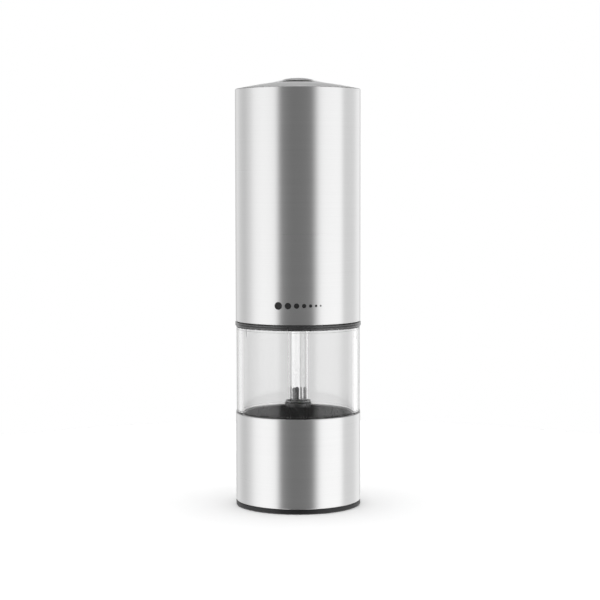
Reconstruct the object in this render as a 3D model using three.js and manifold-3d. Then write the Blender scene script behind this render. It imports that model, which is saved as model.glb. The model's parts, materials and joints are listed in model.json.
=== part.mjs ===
// Battery pepper mill: a brushed steel head with a push button on top, a clear pepper chamber,
// and a conical ceramic grinder in the base. Millimetres, +Z up, standing on z = 0 at x = y = 0.
import * as THREE from "three";
import { mergeVertices } from "three/addons/utils/BufferGeometryUtils.js";
import Module from "manifold-3d";

const wasm = await Module();
wasm.setup();

// ---- Driving dimensions ----
const OUTER_R = 31.5; // steel skin of the head and the base
const STEEL = 0.6; // sheet thickness of both steel skins
const GAP = 0.3; // clearance between pieces that touch
const RIM = 32; // sides of the large round pieces
const ROUND = 18; // sides of the small round pieces

const FOOT_TOP = 2.4;
const BAND_TOP = 47;
const CHAMBER_TOP = 90.7;
const COLLAR_TOP = 93.3;
const CASING_TOP = 209.5;
const BUTTON_TOP = 215.3;

const CHAMBER_R = 31.2;
const CHAMBER_BORE = 28.4;
const NECK_R = 29.3; // the chamber's neck, inside the head
const NECK_TOP = 95;
const HOPPER_R = 28.1;
const HOPPER_BORE = 27.4;

const ROD_SIDE = 5; // square drive rod
const ROD_TURN = (62 * Math.PI) / 180; // how the rod's flats stand at rest
const ROD_TOP = 99.2;
const ROD_SQUARE_FROM = 6.9; // below this the rod is a round thread
const SLEEVE_R = 5.2;
const SLEEVE_BORE = 4.4;
const SLEEVE_TOP = 90.1; // just under the head's bush
const HUB_R = 6.8;
const HUB_TOP = 52.2;
const HUB_BOTTOM = 24.6;

const CONE_BOTTOM = 7.2; // grinding cone
const CONE_TOP = 19;
const CONE_R = 14.1;
const BURR_R = 20.4; // fixed grinding ring
const BURR_BOTTOM = 4.8;
const BURR_TOP = 18.8;

const GEAR_MODULE = 0.6;
const SUN_TEETH = 9;
const PLANET_TEETH = 15;
const RING_TEETH = SUN_TEETH + 2 * PLANET_TEETH;
const PLANETS = 3;
const PLANET_ORBIT = (GEAR_MODULE * (SUN_TEETH + PLANET_TEETH)) / 2;
const GEAR_FACE = 3.8; // width of each planet
const PIN_R = 1.25;
const CARRIER_R = 10.5;
const GEARBOX_R = 14;
const LOWER_GEARS = 102; // underside of the planets on the output carrier
const UPPER_GEARS = 108.2; // underside of the planets on the stage carrier
const GEARBOX_BOTTOM = 98;
const GEARBOX_TOP = 112.4;

const MOTOR_R = 12.2;
const MOTOR_BOTTOM = 114.4;
const MOTOR_TOP = 141;
const HOUSING_R = 29;
const HOUSING_TOP = 149;
const TRAY_FLOOR = 150.8; // top face of the tray's lower disc
const TRAY_ROOF = 203.9; // bottom face of the tray's upper disc
const TRAY_R = 28.6;
const CELL_R = 7.25; // AA cell
const CELL_LENGTH = 50;
const CELL_OFFSET = 8.2;

const BUTTON_R = 9.3;
const BEZEL_R = 13.6;
const BUTTON_FLOOR = 210.7; // floor of the button's cup in the dome
const STEM_R = 2.2;

// ---- Materials ----
function material(name, colour, roughness, metalness, opacity = 1) {
  const made = new THREE.MeshStandardMaterial({ color: colour, roughness, metalness });
  made.name = name;
  made.opacity = opacity;
  made.transparent = opacity < 1;
  return made;
}

const brushedSteel = () => material("brushed_steel", 0xbfc0c0, 0.35, 1);
const satinSilver = () => material("satin_silver", 0xbdbebf, 0.4, 0.8);
const polishedSteel = () => material("polished_steel", 0xd8d9da, 0.12, 1);
const zincSteel = () => material("zinc_steel", 0xa9adb0, 0.4, 1);
const springSteel = () => material("spring_steel", 0xb7b9bb, 0.3, 1);
const clearAcrylic = () => material("clear_acrylic", 0xf2f4f4, 0.05, 0, 0.3);
const greyAcrylic = () => material("grey_acrylic", 0x8f9294, 0.3, 0, 0.8);
const glossBlack = () => material("gloss_black", 0x101011, 0.2, 0);
const mattBlack = () => material("matt_black", 0x1c1c1d, 0.6, 0);
const ceramic = () => material("ceramic", 0xe9e4da, 0.5, 0);
const nylon = () => material("nylon", 0xe6e2d6, 0.5, 0);
const bronze = () => material("bronze", 0xa97c45, 0.4, 0.9);
const copperRed = () => material("red_wire", 0xa32020, 0.5, 0);
const wireBlack = () => material("black_wire", 0x151515, 0.5, 0);
const silicone = () => material("silicone", 0xd9d9d6, 0.7, 0);
const cellLabel = () => material("cell_wrap", 0x3d4c5c, 0.35, 0.3);

// ---- Solids ----

// Keeps only merged positions, and turns the faces outward.
function closed(geometry) {
  const bare = geometry.clone();
  bare.deleteAttribute("normal");
  bare.deleteAttribute("uv");
  const merged = mergeVertices(bare, 1e-4);
  const p = merged.attributes.position;
  const index = Array.from(merged.index.array);
  const a = new THREE.Vector3();
  const b = new THREE.Vector3();
  const c = new THREE.Vector3();
  const kept = [];
  let volume = 0;
  for (let i = 0; i < index.length; i += 3) {
    const [u, v, w] = index.slice(i, i + 3);
    if (u === v || v === w || w === u) continue;
    kept.push(u, v, w);
    a.fromBufferAttribute(p, u);
    b.fromBufferAttribute(p, v);
    c.fromBufferAttribute(p, w);
    volume += a.dot(b.cross(c));
  }
  if (volume < 0) kept.reverse();
  merged.setIndex(kept);
  return merged;
}

function toManifold(geometry) {
  const mesh = closed(geometry);
  return new wasm.Manifold(
    new wasm.Mesh({
      numProp: 3,
      vertProperties: new Float32Array(mesh.attributes.position.array),
      triVerts: new Uint32Array(mesh.index.array),
    }),
  );
}

function toGeometry(manifold) {
  const mesh = manifold.getMesh();
  const geometry = new THREE.BufferGeometry();
  geometry.setAttribute("position", new THREE.BufferAttribute(new Float32Array(mesh.vertProperties), 3));
  geometry.setIndex(Array.from(mesh.triVerts));
  return geometry;
}

function join(...geometries) {
  return toGeometry(geometries.map(toManifold).reduce((all, next) => all.add(next)));
}

function cut(body, ...tools) {
  return toGeometry(tools.map(toManifold).reduce((rest, tool) => rest.subtract(tool), toManifold(body)));
}

// A ring or a turned piece from [radius, height] points. A profile that leaves the axis closes on itself.
function turned(points, sides = RIM) {
  const path = points.map(([r, z]) => new THREE.Vector2(r, z));
  const onAxis = points[0][0] === 0 && points[points.length - 1][0] === 0;
  if (!onAxis) path.push(path[0].clone());
  return new THREE.LatheGeometry(path, sides).rotateX(Math.PI / 2);
}

function tube(outer, inner, bottom, top, sides = ROUND) {
  return turned([[inner, bottom], [outer, bottom], [outer, top], [inner, top]], sides);
}

function disc(radius, bottom, top, sides = ROUND) {
  return turned([[0, bottom], [radius, bottom], [radius, top], [0, top]], sides);
}

// An upright prism on an outline of [x, y] points, with any holes through it.
function prism(points, bottom, top, holes = []) {
  const shape = new THREE.Shape(points.map(([x, y]) => new THREE.Vector2(x, y)));
  for (const hole of holes) shape.holes.push(new THREE.Path(hole.map(([x, y]) => new THREE.Vector2(x, y))));
  return new THREE.ExtrudeGeometry(shape, { depth: top - bottom, bevelEnabled: false }).translate(0, 0, bottom);
}

function block(width, depth, bottom, top, x = 0, y = 0) {
  return new THREE.BoxGeometry(width, depth, top - bottom).translate(x, y, (bottom + top) / 2);
}

// Points round a circle, or round any outline whose radius depends on the angle.
function around(radius, sides, from = 0) {
  const radiusAt = typeof radius === "function" ? radius : () => radius;
  return Array.from({ length: sides }, (_, i) => {
    const angle = from + (2 * Math.PI * i) / sides;
    return [radiusAt(angle) * Math.cos(angle), radiusAt(angle) * Math.sin(angle)];
  });
}

function square(side, turn) {
  return around(side / Math.SQRT2, 4, turn + Math.PI / 4);
}

// The square hole that a piece on the rod needs, running past both of its faces.
function rodHole(bottom, top) {
  return prism(square(ROD_SIDE + 0.3, ROD_TURN), bottom - 1, top + 1);
}

class Helix extends THREE.Curve {
  constructor(bottomR, topR, bottom, top, turns) {
    super();
    Object.assign(this, { bottomR, topR, bottom, top, turns });
  }

  getPoint(t, target = new THREE.Vector3()) {
    const angle = 2 * Math.PI * this.turns * t;
    const radius = this.bottomR + (this.topR - this.bottomR) * t;
    const height = this.bottom + (this.top - this.bottom) * t;
    return target.set(radius * Math.cos(angle), radius * Math.sin(angle), height);
  }
}

// Round wire along a curve.
function wire(curve, radius, steps, sides = 4) {
  const section = new THREE.Shape(around(radius, sides).map(([x, y]) => new THREE.Vector2(x, y)));
  return new THREE.ExtrudeGeometry(section, { steps, extrudePath: curve, bevelEnabled: false });
}

function coilSpring(bottomR, topR, wireR, bottom, top, turns) {
  return wire(new Helix(bottomR, topR, bottom + wireR, top - wireR, turns), wireR, Math.round(turns * 8));
}

function screw(headR, headHeight, shankR, length, sides = 10) {
  return turned(
    [[0, 0], [headR, 0], [headR, headHeight], [shankR, headHeight], [shankR, length], [0, length]],
    sides,
  );
}

// Moves each point of a turned piece in or out by a depth that depends on its angle and height.
function fluted(geometry, depthAt) {
  const p = geometry.attributes.position;
  for (let i = 0; i < p.count; i += 1) {
    const [x, y, z] = [p.getX(i), p.getY(i), p.getZ(i)];
    const r = Math.hypot(x, y);
    const scale = r > 0 ? (r - depthAt(Math.atan2(y, x), z, r)) / r : 1;
    p.setXY(i, x * scale, y * scale);
  }
  return geometry;
}

// Rises from 0 to 1 over each of a number of equal teeth round the axis.
function sawtooth(teeth, angle) {
  const phase = (teeth * angle) / (2 * Math.PI) + 1 / 6;
  return phase - Math.floor(phase);
}

// ---- Gears ----

// One tooth as angle and radius steps: thin enough at the pitch circle to leave some backlash.
function gearOutline(teeth, internal = false, turn = 0) {
  const pitchR = (GEAR_MODULE * teeth) / 2;
  const out = internal ? -1 : 1;
  const tipR = pitchR + out * 0.75 * GEAR_MODULE;
  const rootR = pitchR - out * 1.05 * GEAR_MODULE;
  const tipHalf = (0.3 * GEAR_MODULE) / tipR;
  const rootHalf = (0.82 * GEAR_MODULE) / rootR;
  const points = [];
  for (let i = 0; i < teeth; i += 1) {
    const centre = turn + (2 * Math.PI * (i + (internal ? 0.5 : 0))) / teeth;
    for (const [r, angle] of [[rootR, -rootHalf], [tipR, -tipHalf], [tipR, tipHalf], [rootR, rootHalf]]) {
      points.push([r * Math.cos(centre + angle), r * Math.sin(centre + angle)]);
    }
  }
  return points;
}

function planetPlaces() {
  return Array.from({ length: PLANETS }, (_, i) => (2 * Math.PI * i) / PLANETS);
}

function pins(bottom, top) {
  return planetPlaces().map((angle) =>
    disc(PIN_R, bottom, top, 10).translate(PLANET_ORBIT * Math.cos(angle), PLANET_ORBIT * Math.sin(angle), 0),
  );
}

// ---- Base ----

function footRing() {
  const upstandR = OUTER_R - STEEL - 0.5;
  const ring = turned([
    [31.2, 0], [OUTER_R, 0.4], [OUTER_R, FOOT_TOP], [upstandR, FOOT_TOP], [upstandR, 9], [29.2, 9],
    [29.2, 4.4], [22.4, 4.4], [22.4, 2.6], [28.4, 2.6], [28.4, 0.3], [28.7, 0],
  ]);
  return cut(ring, ...baseScrewPlaces().map(([x, y]) => disc(1.6, 0, 5, 10).translate(x, y, 0)));
}

function baseScrewPlaces() {
  return around(25, 3, Math.PI / 2);
}

function lowerBand() {
  return tube(OUTER_R, OUTER_R - STEEL, FOOT_TOP + 0.1, BAND_TOP, RIM);
}

function burrHousing() {
  const shell = turned([
    [17.6, 3], [22.1, 3], [22.1, 4.7], [27.6, 4.7], [27.6, 7], [22.1, 7], [22.1, 21], [20.7, 21],
    [20.7, 4.5], [17.6, 4.5],
  ]);
  return cut(shell, ...baseScrewPlaces().map(([x, y]) => disc(1.6, 4, 8, 10).translate(x, y, 0)));
}

function baseScrew([x, y]) {
  return screw(2.7, 1.4, 1.3, 5.8).translate(x, y, 0.9);
}

// Fixed grinding ring: a nearly straight throat with a fine-toothed flare at its foot.
function burrRing() {
  const profile = [
    [BURR_R, BURR_BOTTOM], [BURR_R, BURR_TOP], [14.2, BURR_TOP], [13.3, 17], [13.3, 12.6], [15.9, 6.2],
    [16.4, BURR_BOTTOM],
  ];
  const teeth = 16;
  const depth = (angle, z, r) => (r > 17 ? 0 : -0.5 * sawtooth(teeth, angle));
  return fluted(turned(profile, teeth * 3), depth);
}

// Grinding cone: coarse spiral ridges above that break the corns, fine teeth below.
function burrCone() {
  const profile = [
    [0, CONE_BOTTOM], [CONE_R, CONE_BOTTOM], [CONE_R - 0.9, 9.4], [CONE_R - 2, 11.8], [9.6, 14.6], [8, CONE_TOP],
    [0, CONE_TOP],
  ];
  const teeth = 16;
  const ridges = 5;
  const depth = (angle, z, r) => {
    if (r < 7) return 0;
    const leaning = angle + 0.05 * (z - CONE_BOTTOM);
    return z > 12 ? 1.3 * sawtooth(ridges, leaning) : 0.55 * sawtooth(teeth, leaning);
  };
  const cone = fluted(turned(profile, teeth * 3), depth);
  return cut(cone, rodHole(CONE_BOTTOM, CONE_TOP), disc(5.6, 14, CONE_TOP + 1));
}

function bearingSpider() {
  const arms = Array.from({ length: 3 }, (_, i) => block(8, 2, 21.4, 24, 8.6).rotateZ((2 * Math.PI * i) / 3));
  return join(tube(5.8, 3.8, 21.3, 24.2), tube(13.1, 11.8, 21.3, 24.2), ...arms);
}

// Glossy black cup that funnels the corns into the grinder.
function hopper() {
  return turned([
    [HOPPER_R, BAND_TOP - 0.2], [HOPPER_R, 34.6], [15, 25.6], [15, 21.3], [13.6, 21.3], [13.6, 26.2],
    [HOPPER_BORE, 36], [HOPPER_BORE, BAND_TOP - 0.2],
  ]);
}

// Clear jar: a seat inside the steel band, a small flange on its edge, and a neck with bayonet lugs.
function pepperChamber() {
  const wall = turned([
    [CHAMBER_BORE, 33.5], [30.6, 33.5], [30.6, BAND_TOP + 0.1], [31.4, BAND_TOP + 0.1], [31.4, BAND_TOP + 0.9],
    [CHAMBER_R, BAND_TOP + 1.1], [CHAMBER_R, CHAMBER_TOP - 0.1], [NECK_R, CHAMBER_TOP - 0.1], [NECK_R, NECK_TOP],
    [CHAMBER_BORE, NECK_TOP],
  ]);
  const ribAngle = (165 * Math.PI) / 180; // the two guide ribs stand just behind the left side and opposite
  const ribs = [0, Math.PI].map((half) =>
    block(1.1, 1, CHAMBER_TOP - 6, CHAMBER_TOP - 1, CHAMBER_BORE - 0.2).rotateZ(ribAngle + half),
  );
  const lugs = Array.from({ length: 4 }, (_, i) =>
    block(0.8, 5, NECK_TOP - 3.8, NECK_TOP - 1.6, NECK_R - 0.05).rotateZ((Math.PI * i) / 2),
  );
  return join(wall, ...ribs, ...lugs);
}

// ---- Drive ----

function driveRod() {
  const bar = prism(square(ROD_SIDE, ROD_TURN), ROD_SQUARE_FROM, ROD_TOP);
  return join(bar, disc(2, 1.4, ROD_SQUARE_FROM + 1, 12));
}

function rodSleeve() {
  return turned(
    [
      [SLEEVE_BORE, HUB_TOP + 0.2], [6.5, HUB_TOP + 0.2], [6.5, HUB_TOP + 0.9], [SLEEVE_R, HUB_TOP + 1.2],
      [SLEEVE_R, SLEEVE_TOP], [SLEEVE_BORE, SLEEVE_TOP],
    ],
    ROUND,
  );
}

// A ring on the rod with four round-topped fingers that keep the sleeve centred.
function sleeveClip() {
  const height = 6.7;
  const halfWidth = 1.5;
  const outline = new THREE.Shape();
  outline.moveTo(-halfWidth, 0);
  outline.lineTo(halfWidth, 0);
  outline.lineTo(halfWidth, height - halfWidth);
  outline.absarc(0, height - halfWidth, halfWidth, 0, Math.PI);
  const fingers = [0, 1, 2, 3].map((i) =>
    new THREE.ExtrudeGeometry(outline, { depth: 0.8, bevelEnabled: false, curveSegments: 4 })
      .rotateX(Math.PI / 2)
      .translate(0, -3.15, HUB_TOP + 0.9)
      .rotateZ(ROD_TURN + (i * Math.PI) / 2),
  );
  const ring = cut(disc(4.15, HUB_TOP + 0.3, HUB_TOP + 1.5), rodHole(HUB_TOP, HUB_TOP + 2));
  return join(ring, ...fingers);
}

// Feed hub: a capped boss with upright fins, and a three-bladed screw below that feeds the grinder.
function feedHub() {
  const capHeight = 2.6;
  const core = turned(
    [
      [0, HUB_BOTTOM], [4.8, HUB_BOTTOM], [4.8, HUB_TOP - capHeight], [HUB_R, HUB_TOP - capHeight],
      [HUB_R, HUB_TOP - 0.3], [HUB_R - 0.3, HUB_TOP], [0, HUB_TOP],
    ],
    ROUND,
  );
  const fins = Array.from({ length: 8 }, (_, i) =>
    block(2.6, 1.1, 38, HUB_TOP - capHeight + 0.1, 5.2).rotateZ((i * Math.PI) / 4),
  );
  const blades = Array.from({ length: 3 }, (_, i) =>
    new THREE.BoxGeometry(6, 1.6, 10)
      .rotateX(Math.PI / 5)
      .translate(7, 0, 30.5)
      .rotateZ((2 * Math.PI * i) / 3),
  );
  return cut(join(core, ...fins, ...blades), rodHole(HUB_BOTTOM, HUB_TOP));
}

function springWasher() {
  return cut(disc(6.2, CONE_TOP + 1.1, CONE_TOP + 1.9), rodHole(CONE_TOP, CONE_TOP + 2));
}

function grinderSpring() {
  return coilSpring(4.7, 4.7, 0.4, 14.2, CONE_TOP + 1, 3);
}

function grindKnob() {
  const grips = 12;
  const outline = around((angle) => 9 - 0.5 * (1 - Math.cos(grips * angle)), grips * 4);
  const body = prism(outline, 1.2, 5.2, [around(2.2, 12)]);
  return join(body, tube(4.6, 2.2, 4.6, 6.3, 12));
}

// ---- Head ----

// Two-ridged black collar between the chamber and the steel casing, with an upstand inside the casing.
function lockCollar() {
  const low = CHAMBER_TOP + 0.1;
  return turned([
    [29.95, low], [31.5, low], [31.8, low + 0.4], [31.8, low + 0.95], [31.55, low + 1.15],
    [31.55, low + 1.5], [31.8, low + 1.7], [31.8, COLLAR_TOP - 0.3], [31.6, COLLAR_TOP], [30.7, COLLAR_TOP],
    [30.7, 99], [29.95, 99],
  ]);
}

function chamberSeal() {
  return tube(29.2, 28.5, NECK_TOP + 0.2, NECK_TOP + 1.1, RIM);
}

function headBulkhead() {
  return turned([
    [7.4, 90.2], [27.9, 90.2], [27.9, 96.4], [29.6, 96.4], [29.6, 98.2], [26.6, 98.2], [26.6, 91.8],
    [9, 91.8], [9, 97.4], [7.4, 97.4],
  ]);
}

function outputBush() {
  return tube(7.1, 5.3, 90.4, 97.2);
}

// Output carrier with the drive socket. The socket's corners are widened into lobes, so the head can
// turn on its bayonet while the square rod stays where the grinder holds it.
function outputCarrier() {
  const play = (25 * Math.PI) / 180;
  const clearance = 0.15;
  const squareR = (angle) => {
    const quarter = Math.PI / 2;
    const off = angle - quarter * Math.round(angle / quarter);
    return (ROD_SIDE / 2 + clearance) / Math.cos(off);
  };
  const lobedR = (angle) => {
    const steps = 10;
    const turns = Array.from({ length: steps + 1 }, (_, i) => angle - ROD_TURN + (play * i) / steps);
    return Math.max(...turns.map(squareR));
  };
  const body = join(
    disc(CARRIER_R, 99.6, 101.6),
    disc(5, 90.6, 100),
    ...pins(101.5, LOWER_GEARS + GEAR_FACE + 0.1),
  );
  return cut(body, prism(around(lobedR, 72), 90, ROD_TOP + GAP));
}

function stageCarrier() {
  return join(
    disc(CARRIER_R, 106.2, 107.9),
    prism(gearOutline(SUN_TEETH), LOWER_GEARS, 106.3),
    ...pins(107.8, UPPER_GEARS + GEAR_FACE),
  );
}

function planetGear(bottom, angle) {
  return prism(gearOutline(PLANET_TEETH, false, angle), bottom, bottom + GEAR_FACE, [around(PIN_R + 0.1, 10)])
    .translate(PLANET_ORBIT * Math.cos(angle), PLANET_ORBIT * Math.sin(angle), 0);
}

function gearboxRing() {
  const gear = prism(around(GEARBOX_R, 24), GEARBOX_BOTTOM + 1, GEARBOX_TOP, [gearOutline(RING_TEETH, true)]);
  return join(gear, tube(GEARBOX_R, 5.6, GEARBOX_BOTTOM, GEARBOX_BOTTOM + 1.2, 24));
}

function motorPinion() {
  return prism(gearOutline(SUN_TEETH), UPPER_GEARS + 0.1, 112.2, [around(1.1, 10)]);
}

function motorMount() {
  return prism(around(GEARBOX_R, 24), 112.7, 114.1, [around(3.4, 12)]);
}

function motorCan() {
  return turned(
    [
      [2.4, MOTOR_BOTTOM], [MOTOR_R, MOTOR_BOTTOM], [MOTOR_R, MOTOR_TOP], [MOTOR_R - 0.7, MOTOR_TOP],
      [MOTOR_R - 0.7, MOTOR_BOTTOM + 1], [2.4, MOTOR_BOTTOM + 1],
    ],
    ROUND,
  );
}

function motorArmature() {
  return turned(
    [
      [0, UPPER_GEARS + 0.2], [1, UPPER_GEARS + 0.2], [1, 119], [9, 119.4], [9, 134], [3.4, 134.4],
      [3.4, 139.6], [1, 139.8], [1, 142.4], [0, 142.4],
    ],
    16,
  );
}

function motorEndCap() {
  return turned(
    [[1.3, 141.3], [MOTOR_R, 141.3], [MOTOR_R, 143.4], [4, 144.2], [4, 145], [0, 145], [0, 143], [1.3, 143]],
    ROUND,
  );
}

function motorHousing() {
  return turned([
    [27.6, 98.5], [HOUSING_R, 98.5], [HOUSING_R, HOUSING_TOP], [4, HOUSING_TOP], [4, HOUSING_TOP - 1.5],
    [27.6, HOUSING_TOP - 1.5],
  ]);
}

// Battery tray: two discs on a core with four webs, and a cell in each quarter.
function batteryTray() {
  const bottom = HOUSING_TOP + GAP;
  const top = TRAY_ROOF + 1.2;
  const web = 1.2;
  const span = 36;
  const stripRoom = 0.8; // the webs stop short of the contact strips
  return join(
    disc(TRAY_R, bottom, TRAY_FLOOR, RIM),
    disc(TRAY_R, TRAY_ROOF, top, RIM),
    disc(2.4, TRAY_FLOOR - 0.2, TRAY_ROOF + 0.2, 12),
    block(span, web, TRAY_FLOOR + stripRoom, TRAY_ROOF - stripRoom),
    block(web, span, TRAY_FLOOR + stripRoom, TRAY_ROOF - stripRoom),
  );
}

function cellPlaces() {
  return [[1, 1], [-1, 1], [-1, -1], [1, -1]].map(([x, y]) => [x * CELL_OFFSET, y * CELL_OFFSET]);
}

// Neighbouring cells point opposite ways, as four cells in series do.
function batteryCell([x, y], pointsUp) {
  const shoulder = CELL_LENGTH - 1.2;
  const cell = turned(
    [[0, 0], [CELL_R, 0.5], [CELL_R, shoulder - 0.5], [2.7, shoulder], [2.7, CELL_LENGTH], [0, CELL_LENGTH]],
    14,
  );
  const middle = (TRAY_FLOOR + TRAY_ROOF) / 2;
  const lift = pointsUp ? 0.55 : -0.55;
  if (!pointsUp) cell.rotateX(Math.PI).translate(0, 0, CELL_LENGTH);
  return cell.translate(x, y, middle - CELL_LENGTH / 2 + lift);
}

// Conical spring at the flat end of a cell, wide where it stands on its contact strip.
function batterySpring([x, y], pointsUp) {
  const bottom = pointsUp ? TRAY_FLOOR + 0.6 : TRAY_ROOF - 2;
  const [wide, narrow] = [4.6, 2.6];
  const [bottomR, topR] = pointsUp ? [wide, narrow] : [narrow, wide];
  return coilSpring(bottomR, topR, 0.3, bottom, bottom + 1.4, 2.5).translate(x, y, 0);
}

// A nickel strip that joins the ends of two neighbouring cells.
function contactStrip(x, y, width, depth, bottom) {
  return block(width, depth, bottom, bottom + 0.4, x, y);
}

function switchBody() {
  return cut(block(12, 6, 205.3, 207.2), block(3.6, 3.6, 205.8, 208));
}

function switchPlunger() {
  return block(3, 3, 207.05, 208.3);
}

function motorWire(side) {
  const route = [[6, 145.2], [5.6, 146.4], [3, 146.8], [1.6, 147.8], [1.6, 149]];
  const points = route.map(([x, z]) => new THREE.Vector3(side * x, side * 0.4, z));
  return wire(new THREE.CatmullRomCurve3(points), 0.6, 12);
}

// ---- Casing and button ----

function upperCasing() {
  return tube(OUTER_R, OUTER_R - STEEL, COLLAR_TOP + 0.1, CASING_TOP, RIM);
}

function casingLiner() {
  return tube(OUTER_R - STEEL - 0.25, 29.8, 99.3, 201.6, RIM);
}

// Low satin dome. Its middle drops into a cup that holds the button's spring.
function domeCap() {
  return turned([
    [31.3, CASING_TOP + 0.15], [28, CASING_TOP + 0.75], [22, CASING_TOP + 1.9], [17.5, CASING_TOP + 2.75],
    [13.9, CASING_TOP + 3.35], [13.9, BUTTON_FLOOR], [2.7, BUTTON_FLOOR], [2.7, BUTTON_FLOOR - 0.8],
    [22, CASING_TOP + 0.4], [29.5, CASING_TOP - 1.2], [29.5, 202], [30.6, 202], [30.6, CASING_TOP + 0.15],
  ]);
}

function buttonBezel() {
  return turned(
    [
      [BEZEL_R, BUTTON_FLOOR + 0.2], [BEZEL_R, 212.95], [10.1, 213.85], [9.9, 213.9], [9.6, 213.75],
      [9.6, BUTTON_FLOOR + 0.2],
    ],
    RIM,
  );
}

function pushButton() {
  return turned(
    [
      [0, BUTTON_TOP], [5, BUTTON_TOP - 0.35], [7.6, BUTTON_TOP - 0.9], [8.9, BUTTON_TOP - 1.25],
      [BUTTON_R, BUTTON_TOP - 1.7], [BUTTON_R, 212.1],
      [8.5, 212.1], [8.5, 213.1], [STEM_R, 213.1], [STEM_R, 209.5], [1.6, 209.5], [1.6, 209],
      [STEM_R, 209], [STEM_R, 208.5], [0, 208.5],
    ],
    ROUND,
  );
}

function buttonSpring() {
  return coilSpring(3.4, 3.4, 0.25, BUTTON_FLOOR + 0.2, 212.95, 3);
}

function buttonClip() {
  return tube(3.6, 1.75, 209.05, 209.45, 12);
}

// ---- Assembly ----
const mill = new THREE.Group();

function add(name, geometry, finish) {
  const mesh = new THREE.Mesh(closed(geometry), finish);
  mesh.name = name;
  mill.add(mesh);
}

add("foot_ring", footRing(), mattBlack());
add("lower_band", lowerBand(), brushedSteel());
add("burr_housing", burrHousing(), mattBlack());
baseScrewPlaces().forEach((place, i) => add(`base_screw_${i + 1}`, baseScrew(place), zincSteel()));
add("burr_ring", burrRing(), ceramic());
add("bearing_spider", bearingSpider(), mattBlack());
add("hopper", hopper(), glossBlack());
add("pepper_chamber", pepperChamber(), clearAcrylic());

add("drive_rod", driveRod(), polishedSteel());
add("rod_sleeve", rodSleeve(), clearAcrylic());
add("sleeve_clip", sleeveClip(), greyAcrylic());
add("feed_hub", feedHub(), glossBlack());
add("spring_washer", springWasher(), zincSteel());
add("grinder_spring", grinderSpring(), springSteel());
add("burr_cone", burrCone(), ceramic());
add("grind_knob", grindKnob(), mattBlack());

add("lock_collar", lockCollar(), glossBlack());
add("chamber_seal", chamberSeal(), silicone());
add("head_bulkhead", headBulkhead(), mattBlack());
add("output_bush", outputBush(), bronze());
add("output_carrier", outputCarrier(), nylon());
add("stage_carrier", stageCarrier(), nylon());
planetPlaces().forEach((angle, i) => {
  add(`lower_planet_${i + 1}`, planetGear(LOWER_GEARS, angle), nylon());
  add(`upper_planet_${i + 1}`, planetGear(UPPER_GEARS, angle), nylon());
});
add("gearbox_ring", gearboxRing(), nylon());
add("motor_pinion", motorPinion(), bronze());
add("motor_mount", motorMount(), zincSteel());
add("motor_can", motorCan(), zincSteel());
add("motor_armature", motorArmature(), zincSteel());
add("motor_end_cap", motorEndCap(), mattBlack());
add("motor_wire_red", motorWire(1), copperRed());
add("motor_wire_black", motorWire(-1), wireBlack());
add("motor_housing", motorHousing(), mattBlack());
add("battery_tray", batteryTray(), mattBlack());
cellPlaces().forEach((place, i) => {
  add(`battery_cell_${i + 1}`, batteryCell(place, i % 2 === 0), cellLabel());
  add(`battery_spring_${i + 1}`, batterySpring(place, i % 2 === 0), springSteel());
});
add("lower_contact_right", contactStrip(CELL_OFFSET, 0, 8, 24, TRAY_FLOOR + 0.1), zincSteel());
add("lower_contact_left", contactStrip(-CELL_OFFSET, 0, 8, 24, TRAY_FLOOR + 0.1), zincSteel());
add("upper_contact", contactStrip(0, CELL_OFFSET, 24, 8, TRAY_ROOF - 0.5), zincSteel());
add("switch_body", switchBody(), mattBlack());
add("switch_plunger", switchPlunger(), nylon());

add("upper_casing", upperCasing(), brushedSteel());
add("casing_liner", casingLiner(), mattBlack());
add("dome_cap", domeCap(), satinSilver());
add("button_bezel", buttonBezel(), polishedSteel());
add("push_button", pushButton(), satinSilver());
add("button_spring", buttonSpring(), springSteel());
add("button_clip", buttonClip(), springSteel());

export default mill;
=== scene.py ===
import json
import math

import bmesh
import bpy
from mathutils import Matrix, Vector


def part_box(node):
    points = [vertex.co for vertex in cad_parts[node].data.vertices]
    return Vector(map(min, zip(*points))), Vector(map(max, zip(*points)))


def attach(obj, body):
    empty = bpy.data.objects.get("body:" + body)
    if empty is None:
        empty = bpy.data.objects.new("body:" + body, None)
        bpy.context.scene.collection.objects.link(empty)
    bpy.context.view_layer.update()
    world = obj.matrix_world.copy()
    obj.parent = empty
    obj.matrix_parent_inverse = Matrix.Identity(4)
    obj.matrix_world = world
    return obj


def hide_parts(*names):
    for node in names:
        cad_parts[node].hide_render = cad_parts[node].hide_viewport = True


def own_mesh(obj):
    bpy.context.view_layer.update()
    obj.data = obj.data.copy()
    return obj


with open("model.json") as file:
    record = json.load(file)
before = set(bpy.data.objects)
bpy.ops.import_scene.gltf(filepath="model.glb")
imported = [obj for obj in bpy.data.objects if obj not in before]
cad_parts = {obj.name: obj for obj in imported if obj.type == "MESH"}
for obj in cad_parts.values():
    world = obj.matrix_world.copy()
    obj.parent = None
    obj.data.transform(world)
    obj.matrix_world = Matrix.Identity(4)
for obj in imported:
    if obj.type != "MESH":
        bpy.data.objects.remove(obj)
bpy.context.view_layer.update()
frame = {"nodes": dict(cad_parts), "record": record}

# A battery pepper mill. Shapes are written in millimetres and scaled to metres as they are made.
MM = 0.001
FINEST = 256  # sides of the round pieces that make the mill's outline
FINE = 192  # sides of the other large round pieces
CLOSE = 128  # sides of the narrow pieces that can be seen at rest
MEDIUM = 96
SMALL = 48
SIDES_A_TOOTH = 10  # round the grinding faces

ROD_SIDE = 5.0
ROD_TURN = math.radians(62)  # how far the rod's flats are turned from the X axis
HOLE_GROWTH = 0.15  # room round the rod in each square hole
SHEET = 0.6  # thickness of both steel skins

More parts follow.
